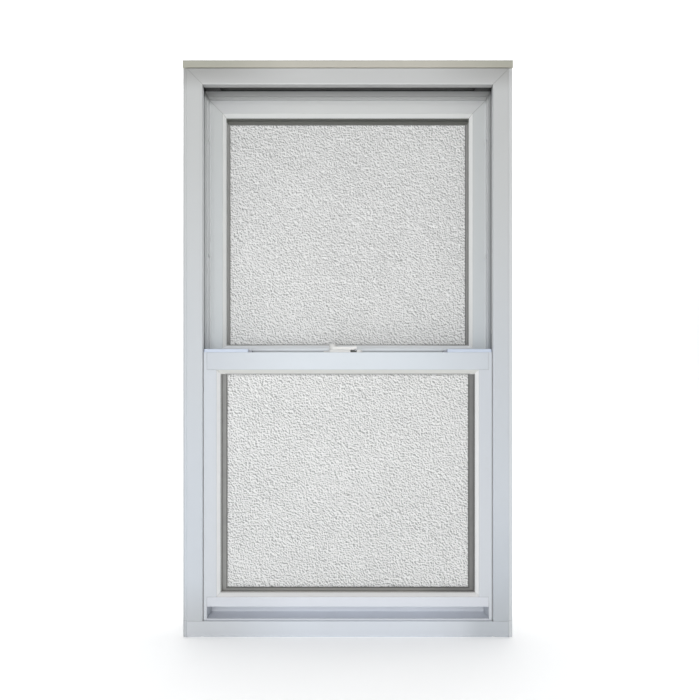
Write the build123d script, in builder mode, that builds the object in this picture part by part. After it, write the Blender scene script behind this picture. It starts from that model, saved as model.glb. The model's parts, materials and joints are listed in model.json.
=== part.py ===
"""White vinyl vertical sliding window with two tilting sashes, seen from the room side.

X runs along the width, Y from the room to the outside, Z up. The origin is the
middle of the sill's flat underside. All lengths are millimetres. Depths are
measured back from the frame's room face, and y_at turns them into Y.
"""
import os

from build123d import *

os.makedirs("parts", exist_ok=True)

# Overall size
frame_width = 610.0
overall_height = 1067.0
expander_rise = 8.0           # how far the head expander stands above the head
half_width = frame_width / 2
head_top = overall_height - expander_rise

# Sashes one behind the other, which set the frame's depth
lower_face_depth = 3.0
sash_thickness = 35.0
sash_gap = 5.0
stop_clearance = 1.0
stop_thickness = 3.5
upper_face_depth = lower_face_depth + sash_thickness + sash_gap
stop_start = upper_face_depth + sash_thickness + stop_clearance
frame_depth = stop_start + stop_thickness

# Frame extrusion, measured in from the wall side
member_width = 36.6
stop_width = 44.6             # blind stop on the outside
edge_band = 7.7               # outer edge of the room face, set back
edge_step = 2.7
edge_shoulder = 1.7           # slope from the step up to the face
nose_radius = 2.0
room_leg = 8.6                # depth of the room-side leg
floor_recess = 2.0            # track floor below the lands
pocket_wall = 2.4
outer_wall = 8.0
pocket_width = 18.5
slot_width = 13.0
outer_pocket_setback = 3.0
outer_slot_setback = 3.0
land_width = 9.4
land_relief = 0.4
rib_groove_depth = 2.5
rib_groove_width = 4.0
track_floor = member_width - floor_recess
inner_wall = track_floor - pocket_wall
outer_pocket = upper_face_depth + outer_pocket_setback
outer_slot = outer_pocket + outer_slot_setback

# Head expander
expander_wall = 2.4
expander_leg = 13.6
expander_ribs = (30.0, 50.0)

# Sill
sill_face_top = 30.5
sill_band = 4.8               # sloping lower edge of the room face
sill_leg = 2.4
sill_floor = 22.0
dam_top = 25.5
dam_thickness = 3.0
sill_slope_start = 21.5
sill_slope_end = 15.5
weep_cover_length = 40.0
weep_cover_height = 10.0
weep_cover_thickness = 4.0
weep_cover_offset = 180.0
weep_cover_level = 8.0
weep_cover_edge = 1.5

# Clearances
joint_gap = 0.2               # hairline left where cut ends meet
fit = 0.3
sash_clearance = 1.2          # lower sash to the room-side legs
track_clearance = 1.0         # upper sash to the track floor, behind the lands
bottom_clearance = 2.3

# Installation screw holes through the jambs
screw_hole_radius = 2.75
access_hole_radius = 4.0
screw_wall = 6.0
hole_spacing = 220.0
top_hole_distance = 120.0
bottom_hole_height = 130.0
outer_hole_setback = 4.5      # in front of the blind stop

# Sash extrusion, measured in from the sash edge and back from its face
lower_stile_face = 23.8
upper_stile_face = 25.8
stile_strip = 6.0             # outer strip of a stile that runs on past the rails
bevel_width = 5.6
bevel_depth = 6.0
bevel_radius = 1.2
edge_radius = 0.8
pane_front = 15.0
rear_wall = 4.0
pocket_cover = 4.6
rear_lip = 5.0
rear_chamfer = 2.0
seal_groove_start = 17.0
seal_groove_width = 5.0
seal_groove_depth = 3.0
lower_half = half_width - member_width - sash_clearance
upper_half = half_width - track_floor - track_clearance
pane_back = sash_thickness - rear_wall

# Sash heights and rails
lower_sash_height = 503.5
meeting_offset = 18.8         # upper sash's bottom below the lower sash's top
lower_rail_face = 49.8
lower_meeting_face = 32.4
upper_meeting_face = 31.5
upper_rail_face = upper_stile_face
lower_bottom = sill_floor + bottom_clearance
lower_top = lower_bottom + lower_sash_height
upper_bottom = lower_top - meeting_offset
upper_top = head_top - track_floor - track_clearance

# Finger recess along the lower sash's bottom rail, above its lower edge
recess_low = 9.7
recess_high = 31.7
recess_depth = 29.0
recess_radius = 2.0

# Hooks with which the two meeting rails hold each other when closed
hook_wall = 1.4
lower_hook_drop = 8.0         # web below the lower sash's top
lower_hook_tip = 15.5
lower_hook_reach = 4.4
upper_hook_rise = 1.0         # web above the upper sash's bottom
upper_hook_tip = 8.5
upper_hook_reach = 4.0
groove_rise = 24.0            # groove along the upper meeting rail, just above the lower sash
groove_width = 2.4
groove_depth = 3.0

# Glazing
pane_thickness = 4.0
pane_bite = 1.6
spacer_inset = 3.0
spacer_width = 8.5
gasket_depth = 8.0
gasket_base = 2.0
gasket_lip = 1.8
lower_gasket = (10.7, 7.0, 2.0)   # seen width at the sides, bottom and top
upper_gasket = (5.5, 3.3, 8.1)

# Balances and pivots in the jamb pockets
pivot_height = 16.0
pivot_setback = 10.5
pivot_bar_width = 6.0
pivot_bar_height = 5.0
pivot_bar_length = 24.0
pivot_plate = (8.0, 24.0, 1.2)
shoe_height = 34.0
shoe_rise = 8.0
shoe_fit = 0.5
tube_width = 22.0
tube_depth = 14.0
tube_wall = 2.0
tube_cap = 6.0
tube_shortfall = 104.0        # balance tube shorter than its sash

# Slot covers and plugs
cover_flange = 1.2
cover_hold = 1.5
room_cover_recess = 1.2       # below the track floor
plug_length = 29.1
room_cover_rise = 37.2        # start above the lower sash
cover_end_gap = 45.0
outer_cover_drop = 22.0       # end below the upper sash
outer_cover_foot = 1.5

# Tilt latches
latch_length = 82.0
latch_height = 6.3
latch_depth = 22.0
latch_setback = 0.8
latch_edge = 1.0
latch_slider = 6.0
latch_slider_drop = 2.2
latch_bolt = (6.5, 4.0)
bolt_reach = 10.0

# Cam lock
lock_left = -37.0
lock_right = 27.7
lock_depth = 24.0
lock_setback = 6.5
lock_base_height = 5.4
lock_corner = 5.0
lock_edge = 1.2
lock_pivot = -27.5
hub_radius = 8.2
hub_height = 16.8
lever_end = 16.4
lever_thickness = 5.6
lever_tip_rise = 2.0
finger_gap = (5.0, 16.0, 10.0, 4.4)   # opening under the lever's tip
cam_radius = 5.6
cam_thickness = 3.0
cam_lift = 0.8
cam_width = 13.0
cam_bite = 2.5
keeper_width = 40.0
keeper_height = 9.0
keeper_depth = 6.0
keeper_slot_width = 30.0
keeper_slot_height = 5.0


def y_at(depth):
    return depth - frame_depth / 2


def outline(points):
    """Closed face through points (a, b) or (a, b, corner radius)."""
    with BuildLine() as edge:
        FilletPolyline(
            *[point[:2] for point in points],
            radius=[point[2] if len(point) > 2 else 0 for point in points],
            close=True,
        )
    make_face(edge.edges())


def save(builder, name):
    builder.part.label = name
    export_step(builder.part, f"parts/{name}.step")


def pocket(start, slot_start, reach):
    """Balance pocket open to the track through a slot narrower than itself."""
    end = start + pocket_width
    slot_end = slot_start + slot_width
    mouth = [] if slot_start == start else [(track_floor, slot_start), (inner_wall, slot_start),
                                            (inner_wall, start)]
    return mouth + [(outer_wall, start), (outer_wall, end), (inner_wall, end),
                    (inner_wall, slot_end), (track_floor, slot_end)]


def frame_section():
    """Section shared by head and jambs: (in from the wall, depth)."""
    points = [
        (0, edge_step, 1), (edge_band - edge_shoulder, edge_step), (edge_band, 0, 0.5),
        (member_width, 0, nose_radius), (member_width, room_leg),
    ]
    points += pocket(room_leg, room_leg, track_floor)
    points += [
        (track_floor, upper_face_depth - land_width), (member_width, upper_face_depth - land_width),
        (member_width, upper_face_depth - land_relief), (track_floor, upper_face_depth - land_relief),
    ]
    points += pocket(outer_pocket, outer_slot, track_floor)
    points += [
        (track_floor, stop_start), (stop_width, stop_start), (stop_width, frame_depth, 1),
        (0, frame_depth, 1),
    ]
    for start in (outer_pocket, room_leg):
        middle = start + pocket_width / 2
        low, high = middle - rib_groove_width / 2, middle + rib_groove_width / 2
        points += [(0, high), (rib_groove_depth, high), (rib_groove_depth, low), (0, low)]
    return points


def glazing_side(face):
    """Glass side of a sash section, from the edge of its face round to the back."""
    bevel = face + bevel_width
    return [
        (face, 0, bevel_radius), (bevel, bevel_depth, bevel_radius), (bevel, pane_front),
        (face - pocket_cover, pane_front), (face - pocket_cover, pane_back),
        (face + rear_lip, pane_back), (face + rear_lip, sash_thickness - rear_chamfer),
        (face + rear_lip - rear_chamfer, sash_thickness),
    ]


def grooved_edge():
    """Outer edge of a sash section, from the back to the face, with its seal groove."""
    end = seal_groove_start + seal_groove_width
    return [
        (0, sash_thickness, edge_radius), (0, end), (seal_groove_depth, end),
        (seal_groove_depth, seal_groove_start), (0, seal_groove_start), (0, 0, edge_radius),
    ]


def stile_section(face):
    return glazing_side(face) + grooved_edge()


def bottom_rail_section():
    recess = [
        (recess_low, 0, edge_radius), (recess_low, recess_depth, recess_radius),
        (recess_high, recess_depth, recess_radius), (recess_high, 0, edge_radius),
    ]
    return recess + glazing_side(lower_rail_face) + grooved_edge()


def lower_meeting_section():
    web = lower_hook_drop + hook_wall
    back = sash_thickness + lower_hook_reach
    hook = [
        (web, sash_thickness), (web, back - hook_wall), (lower_hook_tip, back - hook_wall),
        (lower_hook_tip, back), (lower_hook_drop, back), (lower_hook_drop, sash_thickness),
    ]
    return glazing_side(lower_meeting_face) + hook + [(0, sash_thickness), (0, 0, edge_radius)]


def upper_meeting_section():
    web = upper_hook_rise + hook_wall
    hook = [
        (upper_hook_rise, 0), (upper_hook_rise, -upper_hook_reach),
        (upper_hook_tip, -upper_hook_reach), (upper_hook_tip, hook_wall - upper_hook_reach),
        (web, hook_wall - upper_hook_reach), (web, 0),
    ]
    groove_end = groove_rise + groove_width
    groove = [
        (groove_rise, 0), (groove_rise, groove_depth), (groove_end, groove_depth), (groove_end, 0),
    ]
    return glazing_side(upper_meeting_face) + [(0, sash_thickness), (0, 0)] + hook + groove


def corner_joint(half, stile_face, face, end, inward, notched):
    """Joint line at a sash corner, from the edge to the glass: (from the middle, height).

    A notched joint lets the rail in between the stiles' outer strips. The glazing
    bevels always meet on a mitre.
    """
    corner = (half - stile_face, end + inward * face)
    tip = (corner[0] - 2 * bevel_width, corner[1] + inward * 2 * bevel_width)
    strip = half - stile_strip
    start = [(strip, end), (strip, corner[1])] if notched else [(half, end)]
    return start + [corner, tip]


def stile_region(half, top_joint, foot_joint, top, bottom):
    """Front view of a stile between its two corner joints."""
    upper = [(x + joint_gap, z - joint_gap) for x, z in top_joint[1:]]
    lower = [(x + joint_gap, z + joint_gap) for x, z in foot_joint[1:]]
    return (
        [(half, bottom), (half, top), (top_joint[0][0] + joint_gap, top)]
        + upper + lower[::-1] + [(foot_joint[0][0] + joint_gap, bottom)]
    )


def mitred_stile_region(top_joint, foot_joint):
    """Front view of a stile cut to a mitre at both ends."""
    upper = [(x, z - joint_gap) for x, z in top_joint]
    lower = [(x, z + joint_gap) for x, z in foot_joint]
    return upper + lower[::-1]


def rail_region(joint):
    """Front view of a rail between its two corner joints."""
    return [(x, z) for x, z in joint] + [(-x, z) for x, z in reversed(joint)]


def slot_cover_section(start, recess, front_flange):
    """T section that clips into a track slot: (in from the wall, depth)."""
    seen = track_floor - recess
    front = start + fit
    back = start + slot_width - fit
    behind = start - cover_hold if front_flange else front
    mouth = [] if not front_flange else [(inner_wall, behind), (inner_wall, front)]
    return [
        (seen, front), (seen, back), (inner_wall, back),
        (inner_wall, back + cover_hold), (inner_wall - cover_flange, back + cover_hold),
        (inner_wall - cover_flange, behind),
    ] + mouth


# Frame: two jambs mitred to the head, standing on the ends of the sill
jamb_foot = sill_face_top + joint_gap
jamb_region = [
    (half_width, 0), (half_width - edge_band, 0), (half_width - edge_band, jamb_foot),
    (half_width - stop_width, jamb_foot),
    (half_width - stop_width, head_top - stop_width - joint_gap),
    (half_width, head_top - joint_gap),
]
room_hole_depth = upper_face_depth - (land_width + land_relief) / 2
outer_hole_depth = stop_start - outer_hole_setback
room_hole_heights = (head_top - top_hole_distance - hole_spacing, head_top - top_hole_distance)
outer_hole_heights = (bottom_hole_height, bottom_hole_height + hole_spacing)
for hand, side in (("left", -1), ("right", 1)):
    with BuildPart() as jamb:
        with BuildSketch(Plane.XY):
            outline([(side * (half_width - u), y_at(d), *r) for u, d, *r in frame_section()])
        extrude(amount=head_top)
        with BuildSketch(Plane.XZ):
            outline([(side * x, z) for x, z in jamb_region])
        extrude(amount=frame_depth, both=True, mode=Mode.INTERSECT)
        for depth, heights in ((room_hole_depth, room_hole_heights),
                               (outer_hole_depth, outer_hole_heights)):
            for radius, reach in ((screw_hole_radius, half_width),
                                  (access_hole_radius, half_width - screw_wall)):
                with BuildSketch(Plane.YZ):
                    with Locations(*[(y_at(depth), z) for z in heights]):
                        Circle(radius)
                extrude(amount=side * reach, mode=Mode.SUBTRACT)
    save(jamb, f"frame_jamb_{hand}")

with BuildPart() as head:
    with BuildSketch(Plane.YZ.offset(-half_width)):
        outline([(y_at(d), head_top - u, *r) for u, d, *r in frame_section()])
    extrude(amount=frame_width)
    with BuildSketch(Plane.XZ):
        outline([
            (-half_width, head_top), (half_width, head_top),
            (half_width - stop_width, head_top - stop_width),
            (-half_width + stop_width, head_top - stop_width),
        ])
    extrude(amount=frame_depth, both=True, mode=Mode.INTERSECT)
save(head, "frame_head")

half_sill = half_width - edge_band - joint_gap
dam_front = upper_face_depth - dam_thickness - 1
dam_back = dam_front + dam_thickness
above_sill = sill_face_top + 1
with BuildPart() as sill:
    with BuildSketch(Plane.YZ.offset(-half_sill)):
        outline([
            (y_at(edge_step), 0), (y_at(frame_depth), 0), (y_at(frame_depth), sill_face_top),
            (y_at(0), sill_face_top), (y_at(0), sill_band, 1),
        ])
    extrude(amount=2 * half_sill)
    opening = half_width - member_width
    with BuildSketch(Plane.YZ.offset(-opening)):
        outline([
            (y_at(sill_leg), above_sill), (y_at(sill_leg), sill_floor), (y_at(dam_front), sill_floor),
            (y_at(dam_front), dam_top), (y_at(dam_back), dam_top),
            (y_at(dam_back + 1), sill_slope_start), (y_at(stop_start), sill_slope_end),
            (y_at(stop_start), above_sill),
        ])
    extrude(amount=2 * opening, mode=Mode.SUBTRACT)
    stop_opening = half_width - stop_width
    with BuildSketch(Plane.YZ.offset(-stop_opening)):
        outline([
            (y_at(stop_start - 1), above_sill), (y_at(stop_start - 1), sill_slope_end),
            (y_at(frame_depth + 1), sill_slope_end - 1), (y_at(frame_depth + 1), above_sill),
        ])
    extrude(amount=2 * stop_opening, mode=Mode.SUBTRACT)
save(sill, "frame_sill")

with BuildPart() as expander:
    with BuildSketch(Plane.YZ.offset(-half_width)):
        web = overall_height - expander_wall
        back = frame_depth - expander_wall
        outline([
            (y_at(0), overall_height, 1), (y_at(0), overall_height - expander_leg),
            (y_at(expander_wall), overall_height - expander_leg), (y_at(expander_wall), web),
            (y_at(back), web), (y_at(back), head_top), (y_at(frame_depth), head_top),
            (y_at(frame_depth), overall_height, 1),
        ])
        for rib in expander_ribs:
            outline([
                (y_at(rib), web), (y_at(rib), head_top), (y_at(rib + expander_wall), head_top),
                (y_at(rib + expander_wall), web),
            ])
    extrude(amount=frame_width)
save(expander, "head_expander")

with BuildPart() as plugs:
    for side in (-1, 1):
        with BuildSketch(Plane.YZ.offset(side * (half_width - member_width - plug_length))):
            outline([(y_at(d), head_top - u) for u, d in slot_cover_section(room_leg, 0, False)])
        extrude(amount=side * plug_length)
save(plugs, "head_end_plugs")

room_cover_low = lower_top + room_cover_rise
outer_cover_low = sill_face_top + outer_cover_foot
for name, start, recess, low, high, front_flange in (
    ("track_covers_room_side", room_leg, room_cover_recess, room_cover_low,
     head_top - cover_end_gap, False),
    ("track_covers_outside", outer_slot, 0, outer_cover_low, upper_bottom - outer_cover_drop, True),
):
    with BuildPart() as covers:
        for side in (-1, 1):
            with BuildSketch(Plane.XY.offset(low)):
                outline([(side * (half_width - u), y_at(d))
                         for u, d in slot_cover_section(start, recess, front_flange)])
            extrude(amount=high - low)
    save(covers, name)

with BuildPart() as weep_covers:
    with BuildSketch(Plane.XZ.offset(-y_at(frame_depth))):
        with Locations((-weep_cover_offset, weep_cover_level), (weep_cover_offset, weep_cover_level)):
            Rectangle(weep_cover_length, weep_cover_height)
    extrude(amount=-weep_cover_thickness)
    chamfer(weep_covers.faces().sort_by(Axis.Y)[-2:].edges(), length=weep_cover_edge)
save(weep_covers, "sill_weep_covers")

# Sash stiles and rails
lower_tops = corner_joint(lower_half, lower_stile_face, lower_meeting_face, lower_top, -1, True)
lower_feet = corner_joint(lower_half, lower_stile_face, lower_rail_face, lower_bottom, 1, True)
upper_tops = corner_joint(upper_half, upper_stile_face, upper_rail_face, upper_top, -1, False)
upper_feet = corner_joint(upper_half, upper_stile_face, upper_meeting_face, upper_bottom, 1, False)
for sash, half, stile_face, face_depth, bottom, top, region in (
    ("lower", lower_half, lower_stile_face, lower_face_depth, lower_bottom, lower_top,
     stile_region(lower_half, lower_tops, lower_feet, lower_top, lower_bottom)),
    ("upper", upper_half, upper_stile_face, upper_face_depth, upper_bottom, upper_top,
     mitred_stile_region(upper_tops, upper_feet)),
):
    for hand, side in (("left", -1), ("right", 1)):
        with BuildPart() as stile:
            with BuildSketch(Plane.XY.offset(bottom)):
                outline([(side * (half - v), y_at(face_depth + e), *r)
                         for v, e, *r in stile_section(stile_face)])
            extrude(amount=top - bottom)
            with BuildSketch(Plane.XZ):
                outline([(side * x, z) for x, z in region])
            extrude(amount=frame_depth, both=True, mode=Mode.INTERSECT)
        save(stile, f"{sash}_sash_stile_{hand}")

lock_front = y_at(lower_face_depth + lock_setback)
lock_middle = lock_front + lock_depth / 2
keeper_middle = lock_pivot + (cam_width - 2 * cam_radius) / 2
keeper_low = lower_top + cam_lift + (cam_thickness - keeper_height) / 2
keeper_level = keeper_low + keeper_height / 2
for name, section, face_depth, end, inward, joint in (
    ("lower_sash_meeting_rail", lower_meeting_section(), lower_face_depth, lower_top, -1, lower_tops),
    ("lower_sash_bottom_rail", bottom_rail_section(), lower_face_depth, lower_bottom, 1, lower_feet),
    ("upper_sash_top_rail", stile_section(upper_rail_face), upper_face_depth, upper_top, -1, upper_tops),
    ("upper_sash_meeting_rail", upper_meeting_section(), upper_face_depth, upper_bottom, 1,
     upper_feet),
):
    with BuildPart() as rail:
        with BuildSketch(Plane.YZ.offset(-upper_half)):
            outline([(y_at(face_depth + e), end + inward * v, *r) for v, e, *r in section])
        extrude(amount=2 * upper_half)
        with BuildSketch(Plane.XZ):
            outline(rail_region(joint))
        extrude(amount=frame_depth, both=True, mode=Mode.INTERSECT)
        if name == "upper_sash_meeting_rail":
            with BuildSketch(Plane.XZ.offset(-y_at(upper_face_depth))):
                with Locations((keeper_middle, keeper_level)):
                    Rectangle(keeper_width + 2 * fit, keeper_height + 2 * fit)
            extrude(amount=-(keeper_depth + fit), mode=Mode.SUBTRACT)
            with BuildSketch(Plane.XZ.offset(-y_at(upper_face_depth))):
                for side in (-1, 1):
                    with Locations((side * (upper_half + lower_half) / 2, upper_bottom)):
                        Rectangle(upper_half - lower_half, 2 * upper_hook_tip)
            extrude(amount=upper_hook_reach, mode=Mode.SUBTRACT)
    save(rail, name)

# Glass units: two panes held apart by a spacer, behind a gasket under the bevel
for sash, sight_half, face_depth, bottom, top, foot_face, head_face, sight in (
    ("lower", lower_half - lower_stile_face, lower_face_depth, lower_bottom, lower_top,
     lower_rail_face, lower_meeting_face, lower_gasket),
    ("upper", upper_half - upper_stile_face, upper_face_depth, upper_bottom, upper_top,
     upper_meeting_face, upper_rail_face, upper_gasket),
):
    pane_width = 2 * (sight_half + pane_bite)
    pane_low = bottom + foot_face - pane_bite
    pane_high = top - head_face + pane_bite
    pane_height = pane_high - pane_low
    pane_middle = (pane_low + pane_high) / 2
    front = face_depth + pane_front
    back = face_depth + pane_back
    for name, start in (("inner", front), ("outer", back - pane_thickness)):
        with BuildPart() as pane:
            with BuildSketch(Plane.XZ.offset(-y_at(start))):
                with Locations((0, pane_middle)):
                    Rectangle(pane_width, pane_height)
            extrude(amount=-pane_thickness)
        save(pane, f"{sash}_sash_{name}_pane")
    with BuildPart() as spacer:
        with BuildSketch(Plane.XZ.offset(-y_at(front + pane_thickness))):
            with Locations((0, pane_middle)):
                RectangleRounded(pane_width - 2 * spacer_inset, pane_height - 2 * spacer_inset, 2)
                inner_inset = spacer_inset + spacer_width
                Rectangle(pane_width - 2 * inner_inset, pane_height - 2 * inner_inset,
                          mode=Mode.SUBTRACT)
        extrude(amount=-(back - front - 2 * pane_thickness))
    save(spacer, f"{sash}_sash_spacer")
    bead_width = 2 * (sight_half - bevel_width)
    bead_low = bottom + foot_face + bevel_width
    bead_high = top - head_face - bevel_width
    with BuildPart() as gasket:
        for ring_front, ring_back, most in (
            (front - gasket_base, front, max(sight)),
            (front - gasket_depth, front - gasket_base, gasket_lip),
        ):
            side_seen, foot_seen, head_seen = (min(seen, most) for seen in sight)
            with BuildSketch(Plane.XZ.offset(-y_at(ring_front))):
                with Locations((0, (bead_low + bead_high) / 2)):
                    Rectangle(bead_width, bead_high - bead_low)
                with Locations((0, (bead_low + foot_seen + bead_high - head_seen) / 2)):
                    Rectangle(bead_width - 2 * side_seen, bead_high - head_seen - bead_low - foot_seen,
                              mode=Mode.SUBTRACT)
            extrude(amount=-(ring_back - ring_front))
    save(gasket, f"{sash}_sash_gasket")

# Seals that ride in the sash grooves
seal_width = seal_groove_width - 2 * fit
seal_middle = seal_groove_start + seal_groove_width / 2
seal_edge = half_width - track_floor - fit
for sash, half, face_depth, bottom, top in (
    ("lower", lower_half, lower_face_depth, lower_bottom + lower_stile_face, lower_top - bevel_width),
    ("upper", upper_half, upper_face_depth, upper_bottom + bevel_width, upper_top - bevel_width),
):
    seal_root = half - seal_groove_depth
    with BuildPart() as side_seals:
        with BuildSketch(Plane.XY.offset(bottom)):
            with Locations(*[(side * (seal_root + seal_edge) / 2, y_at(face_depth + seal_middle))
                             for side in (-1, 1)]):
                Rectangle(seal_edge - seal_root, seal_width)
        extrude(amount=top - bottom)
    save(side_seals, f"{sash}_sash_side_seals")

for name, face_depth, low, high, half_length in (
    ("lower_sash_bottom_seal", lower_face_depth, sill_floor, lower_bottom + seal_groove_depth,
     lower_half - stile_strip - fit),
    ("upper_sash_top_seal", upper_face_depth, upper_top - seal_groove_depth,
     head_top - track_floor - fit, upper_half - upper_stile_face),
):
    with BuildPart() as rail_seal:
        with BuildSketch(Plane.YZ.offset(-half_length)):
            with Locations((y_at(face_depth + seal_middle), (low + high) / 2)):
                Rectangle(seal_width, high - low)
        extrude(amount=2 * half_length)
    save(rail_seal, name)

with BuildPart() as meeting_seal:
    meeting_width = sash_gap - fit
    half_length = lower_half - stile_strip
    with BuildSketch(Plane.YZ.offset(-half_length)):
        with Locations((y_at(lower_face_depth + sash_thickness + meeting_width / 2),
                        lower_top - lower_hook_drop / 2)):
            Rectangle(meeting_width, lower_hook_drop / 2)
    extrude(amount=2 * half_length)
save(meeting_seal, "meeting_rail_seal")

# Pivot bars, shoes and balances that carry each sash in the jamb pockets
for sash, half, face_depth, bottom, top, pocket_start in (
    ("lower", lower_half, lower_face_depth, lower_bottom, lower_top, room_leg),
    ("upper", upper_half, upper_face_depth, upper_bottom, upper_top, outer_pocket),
):
    pocket_middle = y_at(pocket_start + pocket_width / 2)
    bar_y = y_at(face_depth + pivot_setback)
    bar_z = bottom + pivot_height
    plate_width, plate_height, plate_thickness = pivot_plate
    with BuildPart() as bars:
        for side in (-1, 1):
            with BuildSketch(Plane.YZ.offset(side * half)):
                with Locations((bar_y, bar_z)):
                    Rectangle(plate_width, plate_height)
            extrude(amount=side * plate_thickness)
            with BuildSketch(Plane.YZ.offset(side * half)):
                with Locations((bar_y, bar_z)):
                    Rectangle(pivot_bar_width, pivot_bar_height)
            extrude(amount=side * pivot_bar_length)
    save(bars, f"{sash}_sash_pivot_bars")
    with BuildPart() as shoes:
        for side in (-1, 1):
            with BuildSketch(Plane.YZ.offset(side * (half_width - outer_wall))):
                with Locations((pocket_middle, bar_z + shoe_rise)):
                    Rectangle(pocket_width - 2 * shoe_fit, shoe_height)
            extrude(amount=-side * (inner_wall - outer_wall - shoe_fit))
            with BuildSketch(Plane.YZ.offset(side * half)):
                with Locations((bar_y, bar_z)):
                    Rectangle(pivot_bar_width + 2 * fit, pivot_bar_height + 2 * fit)
            extrude(amount=side * (pivot_bar_length + fit), mode=Mode.SUBTRACT)
    save(shoes, f"{sash}_sash_pivot_shoes")
    tube_low = bar_z + shoe_rise + shoe_height / 2 + joint_gap
    tube_length = top - bottom - tube_shortfall
    with BuildPart() as tubes:
        for side in (-1, 1):
            tube_place = (side * (half_width - outer_wall - tube_width / 2), pocket_middle)
            with BuildSketch(Plane.XY.offset(tube_low)):
                with Locations(tube_place):
                    Rectangle(tube_width, tube_depth)
                    Rectangle(tube_width - 2 * tube_wall, tube_depth - 2 * tube_wall,
                              mode=Mode.SUBTRACT)
            extrude(amount=tube_length)
            with BuildSketch(Plane.XY.offset(tube_low + tube_length)):
                with Locations(tube_place):
                    Rectangle(tube_width, tube_depth)
            extrude(amount=tube_cap)
    save(tubes, f"{sash}_sash_balance_tubes")

# Tilt latches let in at the ends of the lower sash's meeting rail
bolt_width, bolt_height = latch_bolt
for hand, side in (("left", -1), ("right", 1)):
    with BuildPart() as latch:
        latch_outer = lower_half - fit
        latch_inner = latch_outer - latch_length
        latch_middle = y_at(lower_face_depth + latch_setback + latch_depth / 2)
        with BuildSketch(Plane.XY.offset(lower_top)):
            with Locations((side * (latch_outer + latch_inner) / 2, latch_middle)):
                RectangleRounded(latch_length, latch_depth, 2)
        extrude(amount=latch_height)
        fillet(latch.faces().sort_by(Axis.Z)[-1].edges(), radius=latch_edge)
        with BuildSketch(Plane.XY.offset(lower_top)):
            with Locations((side * latch_inner, latch_middle)):
                Rectangle(2 * latch_slider, latch_depth - latch_slider)
        extrude(amount=latch_height - latch_slider_drop)
        with BuildSketch(Plane.YZ.offset(side * (latch_outer - latch_edge))):
            with Locations((y_at(room_leg + slot_width / 2), lower_top + latch_height / 2)):
                Rectangle(bolt_width, bolt_height)
        extrude(amount=side * (latch_edge + bolt_reach))
    save(latch, f"tilt_latch_{hand}")

# Cam lock on the meeting rail, its lever turned to the right and its cam in the keeper
gap_left, gap_right, gap_depth, gap_height = finger_gap
with BuildPart() as lock_base:
    with BuildSketch(Plane.XY.offset(lower_top)):
        with Locations(((lock_left + lock_right) / 2, lock_middle)):
            RectangleRounded(lock_right - lock_left, lock_depth, lock_corner)
    extrude(amount=lock_base_height)
    fillet(lock_base.faces().sort_by(Axis.Z)[-1].edges(), radius=lock_edge)
    with BuildSketch(Plane.XY.offset(lower_top + lock_base_height - gap_height)):
        with Locations(((gap_left + gap_right) / 2, lock_front + gap_depth / 2)):
            Rectangle(gap_right - gap_left, gap_depth)
    extrude(amount=gap_height, mode=Mode.SUBTRACT)
    with BuildSketch(Plane.XY.offset(lower_top)):
        with Locations((lock_pivot, lock_middle)):
            Circle(cam_radius + fit)
    extrude(amount=lock_base_height, mode=Mode.SUBTRACT)
    with BuildSketch(Plane.XY.offset(lower_top)):
        with Locations((keeper_middle, lock_middle + lock_depth / 2)):
            Rectangle(cam_width + 2 * fit, lock_depth)
    extrude(amount=cam_lift + cam_thickness + fit, mode=Mode.SUBTRACT)
save(lock_base, "cam_lock_base")

with BuildPart() as lock_lever:
    hub_low = lower_top + lock_base_height
    with BuildSketch(Plane.XY.offset(hub_low)):
        with Locations((lock_pivot, lock_middle)):
            Circle(hub_radius)
    extrude(amount=hub_height - lock_base_height)
    fillet(lock_lever.faces().sort_by(Axis.Z)[-1].edges(), radius=2)
    with BuildSketch(Plane.XZ.offset(-lock_front + 1)):
        outline([
            (lock_pivot, hub_low), (lever_end - 4, hub_low), (lever_end, hub_low + lever_tip_rise, 1),
            (lever_end, hub_low + lever_thickness + lever_tip_rise, 1.5),
            (lever_end - 6, hub_low + lever_thickness, 4), (lock_pivot, hub_low + lever_thickness),
        ])
    extrude(amount=-(lock_depth / 2 + 1))
    with BuildSketch(Plane.XY.offset(lower_top + cam_lift)):
        with Locations((lock_pivot, lock_middle)):
            Circle(cam_radius)
    extrude(amount=lock_base_height - cam_lift)
    cam_tip = y_at(upper_face_depth + cam_bite)
    with BuildSketch(Plane.XY.offset(lower_top + cam_lift)):
        with Locations((keeper_middle, (lock_middle + cam_tip) / 2)):
            Rectangle(cam_width, cam_tip - lock_middle)
    extrude(amount=cam_thickness)
save(lock_lever, "cam_lock_lever")

with BuildPart() as keeper:
    with BuildSketch(Plane.XZ.offset(-y_at(upper_face_depth))):
        with Locations((keeper_middle, keeper_level)):
            Rectangle(keeper_width, keeper_height)
    extrude(amount=-keeper_depth)
    with BuildSketch(Plane.XZ.offset(-y_at(upper_face_depth))):
        with Locations((keeper_middle, keeper_level)):
            Rectangle(keeper_slot_width, keeper_slot_height)
    extrude(amount=-(keeper_depth - 1.5), mode=Mode.SUBTRACT)
save(keeper, "cam_lock_keeper")
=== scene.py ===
"""Looks of a white vinyl vertical sliding window with hammered obscure glass."""
import json
import math

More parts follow.
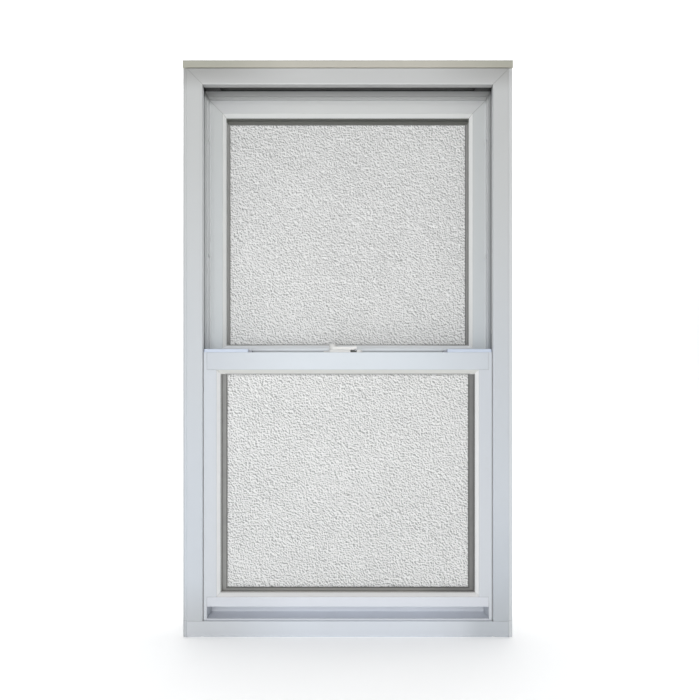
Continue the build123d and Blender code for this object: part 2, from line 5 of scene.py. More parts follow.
import bmesh
import bpy
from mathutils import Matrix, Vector


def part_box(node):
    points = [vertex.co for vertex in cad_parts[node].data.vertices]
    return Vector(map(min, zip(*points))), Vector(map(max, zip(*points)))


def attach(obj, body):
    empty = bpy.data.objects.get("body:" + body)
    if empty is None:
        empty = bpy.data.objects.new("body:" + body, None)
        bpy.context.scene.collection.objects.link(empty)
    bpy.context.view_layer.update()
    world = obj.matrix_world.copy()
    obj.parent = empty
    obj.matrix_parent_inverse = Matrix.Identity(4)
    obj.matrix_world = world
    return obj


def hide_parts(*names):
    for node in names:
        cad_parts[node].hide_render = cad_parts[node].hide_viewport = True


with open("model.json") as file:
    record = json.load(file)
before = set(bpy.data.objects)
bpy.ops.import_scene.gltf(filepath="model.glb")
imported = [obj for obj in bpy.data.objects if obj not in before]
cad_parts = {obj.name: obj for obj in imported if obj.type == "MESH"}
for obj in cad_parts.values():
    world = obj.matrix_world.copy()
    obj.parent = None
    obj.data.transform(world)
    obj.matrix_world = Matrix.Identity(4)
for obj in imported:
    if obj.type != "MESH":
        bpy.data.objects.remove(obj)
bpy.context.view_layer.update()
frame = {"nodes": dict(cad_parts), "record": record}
nodes = frame["nodes"]

MM = 0.001
SOFT = 0.2 * MM                         # soft edge of a mask
HAIRLINE = (0.2 * MM, 0.6 * MM)         # where a joint's line begins and ends to fade

# Frame: its face, the balance pockets of head and jambs, and the right jamb's outer band
head_low, head_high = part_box("frame_head")
face_front = head_low.y
pocket_front = face_front + 8.6 * MM
pocket_back = face_front + 27.1 * MM
track_side = head_high.x - 34.6 * MM
track_head = head_high.z - 34.6 * MM
mitre_offset = head_high.x - head_high.z
band_start = head_high.x - 7.7 * MM
sill_joint = 30.6 * MM
expander_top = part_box("head_expander")[1].z

# Lower sash: its outer edge, and the joints between its rails and stiles
lower_low, lower_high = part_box("lower_sash_stile_right")
lower_half = lower_high.x
joint_side = lower_half - 6.0 * MM
sight_side = lower_half - 23.8 * MM
joint_foot = lower_low.z + 49.8 * MM
joint_top = lower_high.z - 32.4 * MM
joint_middle = (joint_foot + joint_top) / 2
joint_half = (joint_top - joint_foot) / 2
sash_half = (lower_high.z - lower_low.z) / 2

# Upper sash: its face, and the groove along its meeting rail
upper_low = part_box("upper_sash_stile_right")[0]
upper_face = upper_low.y
groove_low = upper_low.z + 24.0 * MM
groove_high = groove_low + 2.4 * MM

# Hardware: where the tilt latches' sliders end, and the gap under the cam lock's lever
latch_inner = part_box("tilt_latch_right")[0].x + 6.0 * MM
lock_low, lock_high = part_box("cam_lock_base")
gap_left, gap_right = 5.0 * MM, 17.0 * MM
gap_top = lock_high.z - 0.6 * MM

# Linear tones of joints, dust, painted shade and painted light on the white vinyl and the gaskets
# Joint lines; the same grey is painted shade along the expander's top edge
JOINT_AND_SHADE_GREY = (0.20, 0.20, 0.19)
DUST = (0.50, 0.50, 0.47)
# Painted shade toward the frame's corners
FRAME_END_SHADE = (0.42, 0.42, 0.41)
FOOT_SHADE = (0.42, 0.46, 0.50)
# Painted shade toward the ends and corners of the sash pieces
SASH_END_SHADE = (0.48, 0.49, 0.52)
# Painted highlight on the right jamb's outer band
BAND_HIGHLIGHT = (0.80, 0.81, 0.82)
# Painted shade along the frame's left outer edge
EDGE_SHADE_GREY = (0.30, 0.30, 0.29)
# Painted light on the upper sash's strip beside the left jamb
LEFT_STRIP_LIGHT = (0.90, 0.92, 0.93)
# Painted light on the walls of the narrow gaps beside the sashes
GAP_WALL_LIGHT = (0.90, 0.91, 0.92)
# Painted shade in the upper sash's meeting rail groove
GROOVE_SHADE = (0.12, 0.13, 0.15)
# Painted shade on the head's track and the right jamb's
TRACK_SHADE = (0.10, 0.10, 0.10)
# Painted shade inside the balance pockets
POCKET_SHADE = (0.02, 0.02, 0.02)
# Painted shade on the gaskets' right side
RUBBER_RIGHT_SHADE = (0.07, 0.07, 0.07)
RUBBER_EDGE = (0.07, 0.07, 0.065)
# Painted light on the upper gasket and on the lower gasket's top strip
RUBBER_LIGHT = (0.80, 0.80, 0.79)


# Node writing: sockets that take Python arithmetic, and one call for every other node

class Value:
    """A shader or geometry socket that takes Python arithmetic."""

    def __init__(self, tree, socket):
        self.tree = tree
        self.socket = socket

    def math(self, operation, *others, swap=False):
        terms = list(reversed((self, *others))) if swap else [self, *others]
        return self.tree.node("ShaderNodeMath", {"operation": operation},
                              {i: term for i, term in enumerate(terms)})

    def __add__(self, other):
        return self.math("ADD", other)

    __radd__ = __add__

    def __sub__(self, other):
        return self.math("SUBTRACT", other)

    def __rsub__(self, other):
        return self.math("SUBTRACT", other, swap=True)

    def __mul__(self, other):
        return self.math("MULTIPLY", other)

    __rmul__ = __mul__

    def __truediv__(self, other):
        return self.math("DIVIDE", other)

    def __abs__(self):
        return self.math("ABSOLUTE")


class Tree:
    """A node tree written with one method for every node."""

    def __init__(self, tree):
        self.tree = tree

    def node(self, kind, settings=None, inputs=None, output=0):
        made = self.tree.nodes.new(kind)
        for name, setting in (settings or {}).items():
            setattr(made, name, setting)
        for name, given in (inputs or {}).items():
            socket = made.inputs[name]
            if isinstance(given, Value):
                self.tree.links.new(given.socket, socket)
            else:
                socket.default_value = given
        return None if output is None else Value(self, made.outputs[output])


def smooth_step(tree, value, low, high, start=0.0, end=1.0):
    """A soft step from start to end, while a value goes from low to high."""
    return tree.node("ShaderNodeMapRange", {"interpolation_type": "SMOOTHSTEP"}, {
        "Value": value, "From Min": low, "From Max": high, "To Min": start, "To Max": end})


def fade_out(tree, value, low, high, start=1.0):
    """A soft step down to nothing, while a value goes from low to high."""
    return smooth_step(tree, value, low, high, start, 0.0)


def between(tree, value, low, high, soft):
    """One between two bounds and nothing beyond them, with soft ends."""
    rising = smooth_step(tree, value, low - soft, low + soft)
    return rising * fade_out(tree, value, high - soft, high + soft)


def noise(tree, vector, scale, detail=2.0, rough=0.5, warp=0.0):
    """Noise from nothing to one, with its scale per metre."""
    return tree.node("ShaderNodeTexNoise", {}, {
        "Vector": vector, "Scale": scale, "Detail": detail, "Roughness": rough, "Distortion": warp})


def mix(tree, factor, first, second):
    """Colour between two, by a factor; a colour written as numbers is linear RGB."""
    first, second = (given if isinstance(given, Value) else (*given, 1) for given in (first, second))
    return tree.node("ShaderNodeMix", {"data_type": "RGBA"}, {0: factor, 6: first, 7: second}, output=2)


def layered(tree, tone, layers):
    """A tone with others laid over it in turn, each by its mask."""
    for mask, laid in layers:
        tone = mix(tree, mask, tone, laid)
    return tone


def finish(name, build, **constants):
    """A material whose build function returns the varying inputs of its one surface shader."""
    material = bpy.data.materials.new(name)
    material.use_nodes = True
    material.node_tree.nodes.clear()
    tree = Tree(material.node_tree)
    place = tree.node("ShaderNodeTexCoord", {}, {}, output="Object")
    varying = build(tree, place)
    inputs = {socket.replace("_", " "): given for socket, given in {**constants, **varying}.items()}
    surface = tree.node("ShaderNodeBsdfPrincipled", {}, inputs)
    tree.node("ShaderNodeOutputMaterial", {}, {"Surface": surface}, output=None)
    return material


def stretched(tree, place, x, y, z):
    """A place scaled by axis, so that a pattern on it is drawn out."""
    return tree.node("ShaderNodeMapping", {}, {"Vector": place, "Scale": (x, y, z)})


def bump(tree, height, distance, strength=1.0):
    """Fine relief, by its height and its depth in metres."""
    return tree.node("ShaderNodeBump", {}, {"Height": height, "Distance": distance, "Strength": strength})


def split(tree, place):
    """The three coordinates of a place."""
    parted = tree.node("ShaderNodeSeparateXYZ", {}, {"Vector": place})
    return [Value(tree, parted.socket.node.outputs[axis]) for axis in "XYZ"]


# Masks: where painted shade, painted light, joints and bevels lie on the window

def into_track(x, z):
    """How far a place lies outside the clear opening of the tracks, sideways or upwards."""
    return (abs(x) - track_side).math("MAXIMUM", z - track_head)


def past_outline(x, z, outline):
    """How far a place lies outside a rectangle in a sash, and less than nothing inside it."""
    half, low, high = outline
    return (abs(x) - half).math("MAXIMUM", low - z).math("MAXIMUM", z - high)


def on_left(tree, x):
    """The left jamb's side of the window."""
    return fade_out(tree, x, -0.25, -0.2)


def on_right(tree, x):
    """The right jamb's side of the window."""
    return smooth_step(tree, x, 0.2, 0.25)


def pocket_shade(tree, place):
    """Painted shade inside the room-side balance pockets, which no light reaches."""
    x, y, z = split(tree, place)
    inside = between(tree, into_track(x, z), 0.8 * MM, 27.5 * MM, 0.8 * MM)
    in_head = smooth_step(tree, z - track_head, -1 * MM, 1 * MM, 0.45, 1.0)
    return inside * in_head * between(tree, y, pocket_front, pocket_back, 0.3 * MM)


def track_shade(tree, place):
    """Painted shade on the head's track and the right jamb's, darkest beside the pocket's slot."""
    x, y, z = split(tree, place)
    inside = between(tree, into_track(x, z), -2.2 * MM, 3 * MM, 0.1 * MM)
    overhead = smooth_step(tree, z - track_head, -12 * MM, -2 * MM)
    fading = smooth_step(tree, y, pocket_front + 12 * MM, pocket_front + 34 * MM, 0.72, 0.2)
    behind_leg = smooth_step(tree, y, pocket_front - 8 * MM, pocket_front - 7 * MM)
    past_leg = smooth_step(tree, y, pocket_front - 0.5 * MM, pocket_front + 0.5 * MM, 0.5, 1.0)
    right_wall = on_right(tree, x) * fade_out(tree, y, pocket_front + 16 * MM, pocket_front + 32 * MM, 0.35)
    return inside * (overhead * fading).math("MAXIMUM", right_wall) * behind_leg * past_leg


def gap_wall_light(tree, place):
    """Painted light on walls in the narrow gaps: the jambs' track and leg ends, and the sashes' outer
    edges.
    """
    x, y, z = split(tree, place)
    walls = between(tree, abs(x), lower_half - 0.4 * MM, track_side + 1.5 * MM, SOFT)
    behind_face = smooth_step(tree, y, face_front + 1 * MM, face_front + 3 * MM)
    under_head = fade_out(tree, z - track_head, -12 * MM, -4 * MM)
    deep = smooth_step(tree, y, pocket_front + 14 * MM, pocket_front + 36 * MM)
    left = on_left(tree, x)
    on_leg = fade_out(tree, y, pocket_front - 1 * MM, pocket_front + 1 * MM)
    lightened = on_leg.math("MAXIMUM", left * 0.43 + deep * (0.5 - left * 0.2))
    return walls * behind_face * under_head * lightened


def weld_line(tree, place):
    """The hairline where head and jambs, and the upper sash's stiles and rail, meet on a mitre."""
    x, _, z = split(tree, place)
    off_line = abs(abs(x) - z - mitre_offset)
    at_top = smooth_step(tree, z, 0.9, 0.95)
    return fade_out(tree, off_line, 0.25 * MM, 0.9 * MM) * at_top


def butt_lines(tree, place):
    """Hairlines where the lower sash's rails stop at its stiles, and the jambs on the sill."""
    x, y, z = split(tree, place)
    out = abs(x)
    off_middle = abs(z - joint_middle)
    rail_end = between(tree, out, joint_side - 0.5 * MM, joint_side + 0.1 * MM, SOFT)
    beside_rail = between(tree, off_middle, joint_half, sash_half, SOFT)
    level = fade_out(tree, abs(off_middle - joint_half), *HAIRLINE)
    shoulder = level * between(tree, out, sight_side, joint_side, SOFT)
    sill_top = fade_out(tree, abs(z - sill_joint), *HAIRLINE)
    sill_end = sill_top * smooth_step(tree, out, joint_side + 6 * MM, joint_side + 7 * MM)
    on_face = fade_out(tree, y, face_front + 4 * MM, face_front + 5 * MM)
    return (rail_end * beside_rail + shoulder + sill_end).math("MINIMUM", 1.0) * on_face


def groove_shade(tree, place):
    """Painted shade in the groove that runs along the upper sash's meeting rail."""
    x, y, z = split(tree, place)
    at_height = between(tree, z, groove_low, groove_high, 0.15 * MM)
    on_sash = fade_out(tree, abs(x), lower_half, lower_half + SOFT)
    return at_height * on_sash * between(tree, y, upper_face + 0.7 * MM, upper_face + 9 * MM, 0.5 * MM)


def shade_toward_ends(tree, place, upright):
    """Painted shade toward the ends of a level piece, or toward the corners of an upright one."""
    x, _, z = split(tree, place)
    ends = smooth_step(tree, abs(x - 0.02), 0.09, 0.30)
    if not upright:
        return ends
    high = smooth_step(tree, z, 1.005, 1.052)
    low = fade_out(tree, z, 0.02, 0.12, 0.5)
    return ends * high.math("MAXIMUM", low)


# Layers of the vinyl: masks with the tones that they lay on

def frame_shading(tree, place):
    """Painted shade toward the corners and on the right jamb's foot, a painted highlight on the outer band
    and painted shade along the left edge.
    """
    x, _, z = split(tree, place)
    shaded_foot = on_right(tree, x) * fade_out(tree, z, 0.03, 0.30)
    # Painted highlight on the right jamb's outer band
    band = smooth_step(tree, x, band_start - SOFT, band_start + SOFT)
    # Painted shade along the frame's left outer edge
    shaded_edge = fade_out(tree, x, 2 * MM - head_high.x, 3 * MM - head_high.x)
    return [
        (shade_toward_ends(tree, place, True) * 0.9, FRAME_END_SHADE),
        (shaded_foot * 0.45, FOOT_SHADE),
        (band * 0.45, BAND_HIGHLIGHT),
        (shaded_edge * 0.3, EDGE_SHADE_GREY),
    ]


def sash_shading(tree, place, along, outline, bevel_shading_tone):
    """Painted shade toward the ends, painted light on the upper sash's strip beside the left jamb, the
    glazing bevel in its painted tone and the line where the bevel starts.
    """
    x, _, z = split(tree, place)
    past = past_outline(x, z, outline)
    layers = [(shade_toward_ends(tree, place, along == "z") * 0.35, SASH_END_SHADE)]
    if outline == upper_outline:
        # Painted light on the upper sash's strip beside the left jamb
        left_strip_light = fade_out(tree, x, -lower_half, 11 * MM - lower_half)
        layers.append((left_strip_light * 0.35, LEFT_STRIP_LIGHT))
    start = fade_out(tree, abs(past), 0.2 * MM, 0.8 * MM)
    return layers + [(fade_out(tree, past, -0.3 * MM, 0.1 * MM), bevel_shading_tone), (start * 0.22, JOINT_AND_SHADE_GREY)]


# Finishes

def vinyl(tree, place, along, top_shading_tone, foot_shading_tone, outline, bevel_shading_tone):
    """Satin extruded vinyl: faint die lines along its length, soft mottling, thin grime, and painted light
    and shade.
    """
    scales = {"x": (6, 900, 900), "z": (900, 900, 6)}[along]
    lines = noise(tree, stretched(tree, place, *scales), 1.0, 1.0)
    mottle = noise(tree, place, 14, 4, 0.6)
    haze = noise(tree, place, 3.2, 2)
    grime = smooth_step(tree, noise(tree, place, 38, 5, 0.7), 0.56, 0.82)
    _, _, z = split(tree, place)
    # Painted light and shade: the tone runs from the piece's foot tone up to its top tone
    height = (z + haze * 0.25 - 0.12) * (1 / expander_top)
    tone = mix(tree, smooth_step(tree, height, 0.15, 1.0), foot_shading_tone, top_shading_tone)
    # Painted shade and light of the frame or of the sash piece
    if outline is None:
        wear_and_shade = frame_shading(tree, place)
    else:
        wear_and_shade = sash_shading(tree, place, along, outline, bevel_shading_tone)
    return {
        "Base_Color": layered(tree, tone, [
            (grime * 0.12, DUST),
            *wear_and_shade,
            (gap_wall_light(tree, place), GAP_WALL_LIGHT),
            (weld_line(tree, place) * 0.5, JOINT_AND_SHADE_GREY),
            (butt_lines(tree, place) * 0.4, JOINT_AND_SHADE_GREY),
            (groove_shade(tree, place) * 0.45, GROOVE_SHADE),
            (track_shade(tree, place), TRACK_SHADE),
            (pocket_shade(tree, place), POCKET_SHADE),
        ]),
        "Roughness": 0.30 + mottle * 0.14 + grime * 0.1,
        "Normal": bump(tree, lines, 0.00012, 0.25),
    }


def glass_white(tree, place):
    """Obscure glass seen against daylight: milky, with worm-like wrinkles finer than the sheet's.

    Painted light and shade: a flank that leans to the sky is painted lighter than the flank
    behind it, as if daylight came through the wrinkles, and the sheet's dips are painted darker.
    """
    per_metre = 320.0
    toward_sky = (0.0008, 0, 0.0011)
    warp = tree.node("ShaderNodeTexNoise", {}, {"Vector": place, "Scale": 55.0}, output="Color")
    bend = tree.node("ShaderNodeVectorMath", {"operation": "SCALE"}, {0: warp, "Scale": 0.008})
    bent = tree.node("ShaderNodeVectorMath", {"operation": "ADD"}, {0: place, 1: bend})
    ahead = tree.node("ShaderNodeVectorMath", {"operation": "ADD"}, {0: bent, 1: toward_sky})
    wrinkle = noise(tree, bent, per_metre, 1.0, 0.4)
    # Painted light and shade on the wrinkles' flanks, by how they lean toward the sky
    painted_sky_light = (noise(tree, ahead, per_metre, 1.0, 0.4) - wrinkle) * 3.6
    cloud = noise(tree, place, 5, 2)
    dip = tree.node("ShaderNodeAttribute", {"attribute_name": "dip"}, {}, output="Fac")
    # Painted shade: the sheet's deeper dips are darker
    shade = (0.27 + dip * 0.12 + painted_sky_light + (cloud - 0.5) * 0.2).math("MINIMUM", 1.0).math("MAXIMUM", 0.0)
    return {
        "Base_Color": mix(tree, shade, (1.0, 1.0, 0.995), (0.33, 0.335, 0.33)),
        "Roughness": 0.26 + wrinkle * 0.16,
        "Normal": bump(tree, wrinkle, 0.0010, 0.9),
    }


def clear_pane(tree, place):
    """Clear glass with a little dust."""
    dust = noise(tree, place, 60, 5, 0.7)
    return {"Roughness": 0.02 + smooth_step(tree, dust, 0.45, 0.8) * 0.08}


def rubber(tree, place, sight, top_shading_tone, foot_shading_tone):
    """Glazing gasket, dark along its edge on the glass; painted shade on its right side, painted light on
    the upper gasket, and painted light and shade on its top and foot strips.
    """
    _, low, high = sight
    x, _, z = split(tree, place)
    wear_and_shade = noise(tree, place, 90, 4, 0.6)
    # Painted shade on the gasket's right side
    right = smooth_step(tree, x, -0.1, 0.2)
    # Painted light on the upper sash's gasket
    on_upper = smooth_step(tree, z, 0.54, 0.56)
    # Painted shade and light on the gasket's top and foot strips
    overhead = smooth_step(tree, z, high - 1 * MM, high + 1 * MM)
    underfoot = fade_out(tree, z, low - 2 * MM, low + 1 * MM)
    middle = fade_out(tree, abs(x), 0.12, 0.21)
    edge = fade_out(tree, past_outline(x, z, sight), 1.4 * MM, 2.4 * MM)
    return {
        "Base_Color": layered(tree, mix(tree, wear_and_shade, (0.27, 0.27, 0.265), (0.38, 0.38, 0.37)), [
            (right * 0.35, RUBBER_RIGHT_SHADE),
            (on_upper * 0.2, RUBBER_LIGHT),
            (overhead * 0.8, top_shading_tone),
            (underfoot * (middle * 0.6 + 0.2), foot_shading_tone),
            (edge * (0.5 + underfoot * 0.35) * (1 - overhead * 0.6), RUBBER_EDGE),
        ]),
        "Roughness": 0.55 + wear_and_shade * 0.3,
        "Normal": bump(tree, wear_and_shade, 0.0003, 0.4),
    }


def dull_bar(tree, place):
    """The spacer's dull grey metal."""
    stain = noise(tree, place, 60, 4, 0.6)
    return {
        "Base_Color": mix(tree, stain, (0.16, 0.16, 0.15), (0.27, 0.27, 0.25)),
        "Roughness": 0.5 + stain * 0.25,
    }


def beige(tree, place):
    """The head expander's beige vinyl, with painted shade toward its ends and along its top edge."""
    lines = noise(tree, stretched(tree, place, 5, 800, 800), 1.0, 1.0)
    stain = noise(tree, place, 22, 5, 0.65)
    _, _, z = split(tree, place)
    # Painted shade along the expander's top edge
    top_edge_shade = smooth_step(tree, z, expander_top - 2.4 * MM, expander_top - 1.4 * MM)
    return {
        "Base_Color": layered(tree, mix(tree, stain, (0.54, 0.52, 0.455), (0.65, 0.625, 0.55)), [
            (shade_toward_ends(tree, place, False) * 0.5, (0.36, 0.37, 0.30)),
            (top_edge_shade * 0.6, JOINT_AND_SHADE_GREY),
        ]),
        "Roughness": 0.5 + stain * 0.2,
        "Normal": bump(tree, lines, 0.0003, 0.3),
    }


def pile(tree, place):
    """Grey pile of the weather seals."""
    fibre = noise(tree, place, 1400, 2, 0.6)
    return {
        "Base_Color": mix(tree, fibre, (0.10, 0.10, 0.10), (0.30, 0.30, 0.29)),
        "Roughness": 0.85 + fibre * 0.1,
        "Normal": bump(tree, fibre, 0.001, 0.8),
    }


def plated(tree, place):
    """Zinc plate with its spangle and a few stains."""
    spangle = tree.node("ShaderNodeTexVoronoi", {}, {"Vector": place, "Scale": 160}, output="Color")
    stain = noise(tree, place, 45, 4, 0.6)
    tone = tree.node("ShaderNodeRGBToBW", {}, {"Color": spangle})
    return {
        "Base_Color": mix(tree, tone * 0.6 + stain * 0.4, (0.42, 0.43, 0.44), (0.62, 0.63, 0.64)),
        "Roughness": 0.32 + stain * 0.25,
    }


def black_plastic(tree, place):
    """Matt black plastic of the shoes and the head's end plugs."""
    grain = noise(tree, place, 500, 3)
    wear_and_shade = noise(tree, place, 70, 4, 0.6)
    return {
        "Base_Color": mix(tree, wear_and_shade, (0.018, 0.018, 0.018), (0.05, 0.05, 0.05)),
        "Roughness": 0.5 + wear_and_shade * 0.25,
        "Normal": bump(tree, grain, 0.0003, 0.4),
    }


def moulded(tree, place):
    """White moulded plastic of the tilt latches, with painted shade on their sliders."""
    grain = noise(tree, place, 700, 2)
    wear_and_shade = noise(tree, place, 55, 4, 0.6)
    x, _, _ = split(tree, place)
    # Painted shade on the latch sliders
    slider = fade_out(tree, abs(x), latch_inner - SOFT, latch_inner + SOFT, 0.8)
    white = mix(tree, wear_and_shade, (0.60, 0.67, 0.80), (0.66, 0.73, 0.85))
    return {
        "Base_Color": mix(tree, slider, white, (0.28, 0.28, 0.31)),
        "Roughness": 0.28 + wear_and_shade * 0.14,
        "Normal": bump(tree, grain, 0.0002, 0.25),
    }


def paint(tree, place):
    """White paint of the cam lock, with painted shade, black, in the gap under its lever."""
    peel = noise(tree, place, 420, 2)
    wear_and_shade = noise(tree, place, 80, 4, 0.6)
    x, y, z = split(tree, place)
    under_lever = between(tree, x, gap_left, gap_right, 0.3 * MM) * between(
        tree, y, lock_low.y - 1 * MM, lock_low.y + 11 * MM, 0.3 * MM)
    # Painted shade, black, in the gap under the lever
    gap = under_lever * fade_out(tree, z, gap_top - SOFT, gap_top + SOFT)
    white = mix(tree, wear_and_shade, (0.76, 0.755, 0.74), (0.84, 0.835, 0.82))
    return {
        "Base_Color": mix(tree, gap, white, (0.015, 0.02, 0.02)),
        "Roughness": 0.24 + wear_and_shade * 0.14,
        "Normal": bump(tree, peel, 0.0003, 0.3),
    }


def studio_white(tree, place):
    """The floor and backdrop, which glow a little."""
    patch = noise(tree, place, 0.8, 2)
    tone = mix(tree, patch, (0.93, 0.93, 0.93), (0.96, 0.96, 0.96))
    return {"Base_Color": tone, "Emission_Color": tone}


# The bevel's outline on each sash, as half width, foot and top; and each kind of vinyl: the way
# its die lines run, its tones at the window's top and foot, and its bevel's outline and tone
lower_outline = (243.4 * MM, 74.1 * MM, 495.4 * MM)
upper_outline = (243.6 * MM, 540.5 * MM, 997.6 * MM)
# The top, foot and bevel tones are painted light and shade: lit and shaded copies of one white vinyl
vinyl_kinds = {
    "frame_head": ("x", (0.635, 0.64, 0.635), (0.635, 0.64, 0.635), None, None),
    "frame_sill": ("x", (0.74, 0.78, 0.84), (0.74, 0.78, 0.84), None, None),
    "frame_jamb": ("z", (0.63, 0.64, 0.635), (0.63, 0.67, 0.72), None, None),
    "upper_sash_stile": ("z", (0.63, 0.65, 0.65), (0.66, 0.71, 0.75), upper_outline, (0.88, 0.885, 0.875)),
    "upper_sash_top": ("x", (0.69, 0.70, 0.695), (0.69, 0.70, 0.695), upper_outline, (0.70, 0.71, 0.70)),
    "upper_sash_meeting": ("x", (0.90, 0.94, 0.98), (0.90, 0.94, 0.98), upper_outline, (0.93, 0.95, 0.98)),
    "lower_sash_stile": ("z", (0.64, 0.68, 0.73), (0.66, 0.69, 0.73), lower_outline, (0.90, 0.905, 0.91)),
    "lower_sash_meeting": ("x", (0.70, 0.75, 0.80), (0.70, 0.75, 0.80), lower_outline, (0.67, 0.675, 0.65)),
    "lower_sash_bottom": ("x", (0.78, 0.81, 0.87), (0.78, 0.81, 0.87), lower_outline, (0.95, 0.945, 0.95)),
    "covers": ("z", (0.60, 0.62, 0.63), (0.60, 0.62, 0.63), None, None),
}
vinyls = {}
for kind, look in vinyl_kinds.items():
    vinyls[kind] = finish(f"{kind}_vinyl", lambda t, p, k=look: vinyl(t, p, *k), IOR=1.5)
obscure = finish("hammered_glass", glass_white, IOR=1.5, Transmission_Weight=0.08)
finishes = {
    "expander_beige": finish("beige_vinyl", beige),
    "clear_glass": finish("clear_glass", clear_pane, Base_Color=(0.92, 0.95, 0.94, 1), IOR=1.5,
                          Transmission_Weight=1.0),
    "spacer_grey": finish("spacer_bar", dull_bar, Metallic=0.6),
    "pile_grey": finish("pile_strip", pile, Sheen_Weight=0.3),
    "zinc": finish("zinc_plate", plated, Metallic=1.0),
    "shoe_plastic": finish("shoe_plastic", black_plastic),
    "plug_grey": finish("plug_plastic", black_plastic),
    "lock_white": finish("lock_paint", paint, Coat_Weight=0.2),
    "latch_white": finish("latch_plastic", moulded),
    "obscure_glass": obscure,
}

# Glass openings inside the gaskets, and the painted light and shade on the gaskets' top and foot strips
sights = {
    "lower": ((227.3 * MM, 86.7 * MM, 487.8 * MM), RUBBER_LIGHT, (0.40, 0.39, 0.37)),
    "upper": ((232.5 * MM, 549.4 * MM, 983.9 * MM), (0.07, 0.075, 0.06), (0.80, 0.80, 0.80)),
}
gaskets = {}
for sash, look in sights.items():
    gaskets[f"{sash}_sash_gasket"] = finish(
        f"{sash}_glazing_rubber", lambda t, p, k=look: rubber(t, p, *k))

for part in frame["record"]["subparts"]:
    node = part["node"]
    material = finishes.get(part["material_slot"]) or gaskets.get(node)
    if material is None:
        material = next(made for kind, made in vinyls.items() if kind in node)
    slots = nodes[node].data.materials
    if len(slots) == 0:
        slots.append(material)
    for i in range(len(slots)):
        slots[i] = material


# Hammered glass: a sheet whose room face is wrinkled, with flat edges and a flat back

def hammered_tree(material):
    """Geometry nodes for the wrinkled room face of a sheet in the XZ plane."""
    flat_rim = 6 * MM
    sideways = 0.016
    ridge_width, ridge_share = 0.17, 0.62
    group = bpy.data.node_groups.new("hammered_sheet", "GeometryNodeTree")
    inputs = {}
    for name, kind, value in (
        ("Width", "NodeSocketFloat", 0.49), ("Height", "NodeSocketFloat", 0.43),
        ("Cell", "NodeSocketFloat", 0.0016), ("Relief", "NodeSocketFloat", 0.0012),
        ("Wrinkles per Metre", "NodeSocketFloat", 120.0), ("Seed", "NodeSocketInt", 3),
        ("Centre", "NodeSocketVector", (0, 0, 0)),
    ):
        socket = group.interface.new_socket(name, in_out="INPUT", socket_type=kind)
        socket.default_value = value
        inputs[name] = socket.identifier
    group.interface.new_socket("Geometry", in_out="OUTPUT", socket_type="NodeSocketGeometry")
    tree = Tree(group)
    given = group.nodes.new("NodeGroupInput")
    width, height, cell, relief, density, seed, centre = (
        Value(tree, given.outputs[name]) for name in inputs)
    columns = (width / cell).math("ROUND")
    rows = (height / cell).math("ROUND")
    flat = tree.node("GeometryNodeMeshGrid", {}, {
        "Size X": width, "Size Y": height, "Vertices X": columns, "Vertices Y": rows})
    place = tree.node("GeometryNodeInputPosition")
    offset = tree.node("ShaderNodeCombineXYZ", {}, {"X": seed, "Y": 0.37, "Z": 0.11})
    point = tree.node("ShaderNodeVectorMath", {"operation": "ADD"}, {0: place, 1: offset})
    warp_field = tree.node("ShaderNodeTexNoise", {}, {
        "Vector": point, "Scale": density * 0.3, "Detail": 2.0}, output="Color")
    warp = tree.node("ShaderNodeVectorMath", {"operation": "SCALE"}, {0: warp_field, "Scale": sideways})
    bent = tree.node("ShaderNodeVectorMath", {"operation": "ADD"}, {0: point, 1: warp})
    grain = noise(tree, bent, density, 0.6, 0.4, 0.3)
    ridges = 1 - smooth_step(tree, abs(grain - 0.5), 0.0, ridge_width)
    pits = smooth_step(tree, noise(tree, bent, density * 1.2, 0.0), 0.3, 0.7)
    calm = smooth_step(tree, noise(tree, point, density * 0.2, 2.0), 0.32, 0.62, 0.5, 1.0)
    depth = (1 - (ridges * ridge_share + pits * (1 - ridge_share))) * calm
    across, along, _ = split(tree, place)
    to_side = width * 0.5 - abs(across)
    to_top = height * 0.5 - abs(along)
    near = to_side.math("MINIMUM", to_top)
    fade = smooth_step(tree, near, 0.0, flat_rim)
    sunk = tree.node("ShaderNodeCombineXYZ", {}, {"X": 0, "Y": 0, "Z": depth * relief * fade * -1})
    marked = tree.node("GeometryNodeStoreNamedAttribute", {"data_type": "FLOAT", "domain": "POINT"}, {
        "Geometry": flat, "Name": "dip", "Value": depth * fade})
    moved = tree.node("GeometryNodeSetPosition", {}, {"Geometry": marked, "Offset": sunk})
    stood = tree.node("GeometryNodeTransform", {}, {
        "Geometry": moved, "Translation": centre, "Rotation": (math.radians(90), 0, 0)})
    smooth = tree.node("GeometryNodeSetShadeSmooth", {}, {"Geometry": stood})
    whole = tree.node("GeometryNodeRealizeInstances", {}, {"Geometry": smooth})
    dressed = tree.node("GeometryNodeSetMaterial", {}, {"Geometry": whole, "Material": material})
    end = group.nodes.new("NodeGroupOutput")
    group.links.new(dressed.socket, end.inputs["Geometry"])
    return group, inputs


def set_and_apply(piece, group, inputs, values):
    """Runs a geometry node tree on a piece and keeps the result as its plain mesh."""
    modifier = piece.modifiers.new("shape", "NODES")
    modifier.node_group = group
    for name, value in values.items():
        modifier[inputs[name]] = value
    bpy.context.view_layer.update()
    seen = piece.evaluated_get(bpy.context.evaluated_depsgraph_get())
    mesh = bpy.data.meshes.new_from_object(seen)
    piece.modifiers.remove(modifier)
    shown = [material for material in mesh.materials if material]
    mesh.materials.clear()
    for material in shown:
        mesh.materials.append(material)
    mesh.polygons.foreach_set("material_index", [0] * len(mesh.polygons))
    piece.data = mesh
    return piece


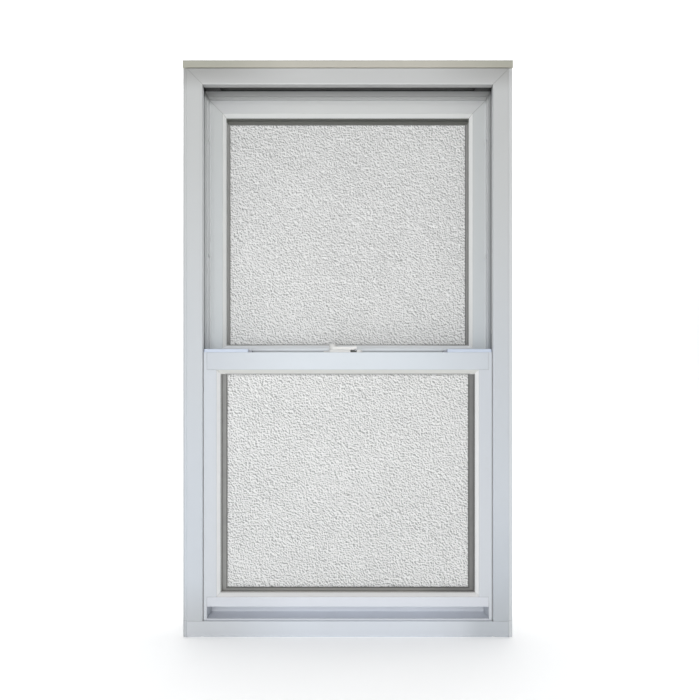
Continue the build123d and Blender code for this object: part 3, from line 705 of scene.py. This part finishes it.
def close_behind(piece, back):
    """Walls from the sheet's rim to a flat back face at a given depth."""
    shell = bmesh.new()
    shell.from_mesh(piece.data)
    rim = [edge for edge in shell.edges if edge.is_boundary]
    walls = bmesh.ops.extrude_edge_only(shell, edges=rim)["geom"]
    far = [item for item in walls if isinstance(item, bmesh.types.BMVert)]
    for vertex in far:
        vertex.co.y = back
    shell.edges.ensure_lookup_table()
    bmesh.ops.holes_fill(shell, edges=[edge for edge in shell.edges if edge.is_boundary], sides=0)
    flat = [face for face in shell.faces if len(face.verts) > 4]
    for face in shell.faces:
        face.smooth = face.normal.y < -0.2
    bmesh.ops.triangulate(shell, faces=flat)
    bmesh.ops.recalc_face_normals(shell, faces=shell.faces)
    shell.to_mesh(piece.data)
    shell.free()


sheet_tree, sheet_inputs = hammered_tree(obscure)
for seed, sash in ((3, "lower"), (8, "upper")):
    node = f"{sash}_sash_inner_pane"
    low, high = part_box(node)
    sheet = bpy.data.objects.new(f"{sash}_hammered_glass", bpy.data.meshes.new(f"{sash}_hammered_glass"))
    bpy.context.collection.objects.link(sheet)
    set_and_apply(sheet, sheet_tree, sheet_inputs, {
        "Width": high.x - low.x, "Height": high.z - low.z, "Seed": seed,
        "Centre": ((low.x + high.x) / 2, low.y, (low.z + high.z) / 2),
    })
    close_behind(sheet, high.y)
    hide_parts(node)
    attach(sheet, "root")


# Pale floor that sweeps up into a backdrop

def sweep():
    """A floor that curves up behind the window."""
    bend, back, front, side, top = 0.9, 1.6, -3.2, 3.2, 3.4
    profile = [(front, 0.0), (back - bend, 0.0)]
    steps = 12
    for step in range(1, steps + 1):
        turn = step / steps * math.pi / 2
        profile.append((back - bend + bend * math.sin(turn), bend - bend * math.cos(turn)))
    profile.append((back, top))
    shell = bmesh.new()
    rows = [[shell.verts.new((x, y, z)) for x in (-side, side)] for y, z in profile]
    for (a, b), (c, d) in zip(rows, rows[1:]):
        shell.faces.new((a, b, d, c)).smooth = True
    mesh = bpy.data.meshes.new("backdrop")
    shell.to_mesh(mesh)
    shell.free()
    mesh.materials.append(finish("studio_white", studio_white, Roughness=0.9, Emission_Strength=0.25))
    backdrop = bpy.data.objects.new("backdrop", mesh)
    bpy.context.collection.objects.link(backdrop)


sweep()


# Soft studio light and the camera

def area_light(name, place, target, size, power, colour):
    lamp = bpy.data.lights.new(name, "AREA")
    lamp.shape = "RECTANGLE"
    lamp.size, lamp.size_y = size
    lamp.energy = power
    lamp.color = colour
    light = bpy.data.objects.new(name, lamp)
    light.location = place
    light.rotation_euler = (Vector(target) - Vector(place)).to_track_quat("-Z", "Y").to_euler()
    bpy.context.collection.objects.link(light)


# Each light's name, place, target, size, power and colour
for light in (
    ("key_front", (-0.2, -2.6, 1.1), (0, 0, 0.5), (1.5, 1.5), 27, (1, 0.985, 0.96)),
    ("fill_low", (-0.9, -2.0, 0.25), (0, 0, 0.3), (1.6, 0.8), 4, (0.80, 0.89, 1)),
    ("backdrop_wash", (0, 0.3, 3.0), (0, 1.5, 0.7), (5.0, 0.8), 60, (1, 1, 1)),
):
    area_light(*light)

world = bpy.data.worlds.new("studio")
world.use_nodes = True
background = world.node_tree.nodes["Background"]
background.inputs["Color"].default_value = (0.94, 0.97, 1, 1)
background.inputs["Strength"].default_value = 0.24
bpy.context.scene.world = world
bpy.context.scene.view_settings.view_transform = "Standard"

lens = bpy.data.cameras.new("camera")
lens.sensor_width = 36
lens.lens = 22.0
lens.shift_x = 0.007
lens.shift_y = 0.077
camera = bpy.data.objects.new("camera", lens)
camera.location = (-0.005, -0.831, 0.432)
camera.rotation_euler = (math.radians(90), 0, 0)
bpy.context.collection.objects.link(camera)
bpy.context.scene.camera = camera
